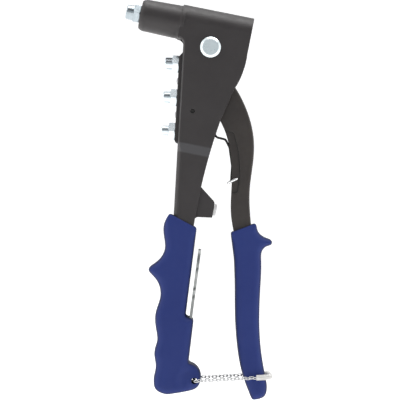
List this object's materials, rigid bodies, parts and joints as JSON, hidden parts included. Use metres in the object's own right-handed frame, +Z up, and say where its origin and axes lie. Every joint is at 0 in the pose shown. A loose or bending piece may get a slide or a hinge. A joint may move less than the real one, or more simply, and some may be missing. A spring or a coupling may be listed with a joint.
{
  "type": "hand riveter",
  "caption": "Hand riveter: a forked lever draws a jaw case back through the barrel; spare nosepieces, a stored wrench and a keeper chain ride on it.",
  "frame": {"origin": "centre of the mounted nosepiece's tip, on the pull axis", "axes": "+Z up along the handles towards the head, +X from the nose to the rear of the head along the pull axis, Y across the cheeks; Y = 0 is the middle plane and the pivot pin's head is at -Y"},
  "size_m": [0.1409, 0.028, 0.2533],
  "materials": {
    "black_paint": "satin black-grey paint",
    "zinc": "bright zinc plate",
    "steel": "plain machined steel",
    "pin_steel": "ground steel, pale",
    "spring_steel": "oiled spring wire",
    "wrench_steel": "stamped grey steel",
    "chain_steel": "bright plated links",
    "pale_pad": "pale grey rubber",
    "blue_grip": "soft matt blue plastic",
    "clear_sleeve": "milky soft plastic"
  },
  "bodies": {
    "handle": {"frame": "black_paint", "nose_bush": "steel", "nosepiece_mounted": "zinc", "nosepiece_stored_1": "zinc", "nosepiece_stored_2": "zinc", "nosepiece_stored_3": "zinc", "nosepiece_holder": "black_paint", "holder_rivets": "steel", "pivot_pin": "pin_steel", "pivot_washer": "steel", "thrust_washers": "steel", "spring_anchor_pin": "steel", "stop_bracket": "black_paint", "stop_pad": "pale_pad", "fixed_grip": "blue_grip"},
    "lever": {"lever": "black_paint", "lever_grip": "blue_grip", "pivot_bush": "steel", "return_spring": "spring_steel"},
    "jaw_case": {"jaw_head": "steel", "jaw_sleeve": "steel", "draw_collar": "steel", "jaws": "steel", "jaw_pusher": "steel", "jaw_spring": "spring_steel"},
    "wrench": {"wrench": "wrench_steel"},
    "keeper_chain": {"keeper_chain": "chain_steel", "chain_sleeve": "clear_sleeve"}
  },
  "joints": [
    {"name": "lever_pivot", "type": "hinge", "parent": "handle", "child": "lever", "pos_m": [0.0589, 0, -0.013], "axis": [0, 1, 0], "range_deg": [-32, 5.3], "stiffness_Nm_per_rad": 1.5, "deforming": ["return_spring", "keeper_chain", "chain_sleeve"]},
    {"name": "jaw_draw", "type": "slide", "parent": "handle", "child": "jaw_case", "axis": [1, 0, 0], "range_m": [-0.0072, 0.0012]},
    {"name": "wrench_slide", "type": "slide", "parent": "handle", "child": "wrench", "axis": [-0.0645, 0, 0.9979], "range_m": [0, 0.018]},
    {"name": "chain_swing", "type": "hinge", "parent": "handle", "child": "keeper_chain", "pos_m": [0.0912, 0, -0.2286], "axis": [0, 1, 0], "range_deg": [-18, 105]}
  ],
  "couplings": [
    {"joint": "jaw_draw", "follows": "lever_pivot", "m_per_rad": 0.0127},
    {"joint": "chain_swing", "follows": "lever_pivot", "ratio": -3.25}
  ]
}
